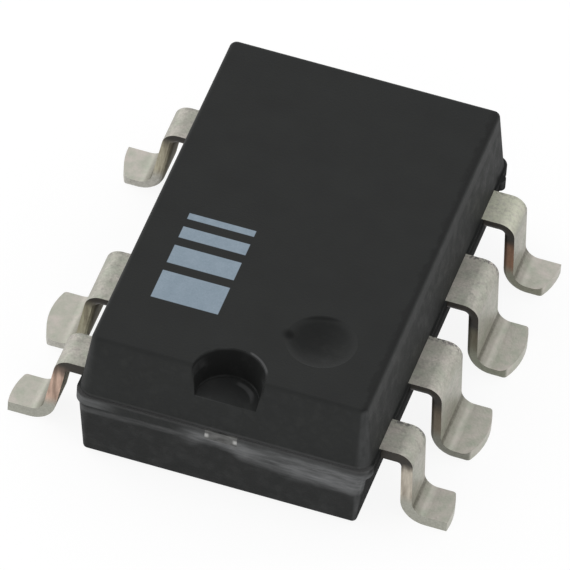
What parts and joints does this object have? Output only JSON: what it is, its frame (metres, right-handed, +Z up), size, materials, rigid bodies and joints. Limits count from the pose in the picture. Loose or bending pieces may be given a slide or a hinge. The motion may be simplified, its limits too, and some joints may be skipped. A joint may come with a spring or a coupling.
{
  "type": "surface-mount integrated circuit",
  "caption": "Black moulded power chip with a round-bottomed index notch, a dimple at one corner and bent gull-wing leads along both long sides.",
  "frame": {"origin": "on the board plane, under the middle of the body", "axes": "+X towards leads 1 to 4, +Y away from the index notch along the body, +Z up from the board"},
  "size_m": [0.0097, 0.0098, 0.0034],
  "materials": {
    "epoxy": "fine matt moulded surface",
    "tinned_copper": "matt tin plate over copper, bare and stained at the cut edges",
    "silicon": "polished",
    "die_attach": "satin",
    "wire": "polished"
  },
  "bodies": {
    "root": {"moulded_body": "epoxy", "paddle_leads_2_3_7_8": "tinned_copper", "lead_1": "tinned_copper", "lead_4": "tinned_copper", "lead_5": "tinned_copper", "silicon_die": "silicon", "die_attach": "die_attach", "bond_wire_lead_1": "wire", "bond_wire_lead_4": "wire", "bond_wire_lead_5a": "wire", "bond_wire_lead_5b": "wire", "bond_wire_paddle_a": "wire", "bond_wire_paddle_b": "wire"}
  },
  "joints": []
}
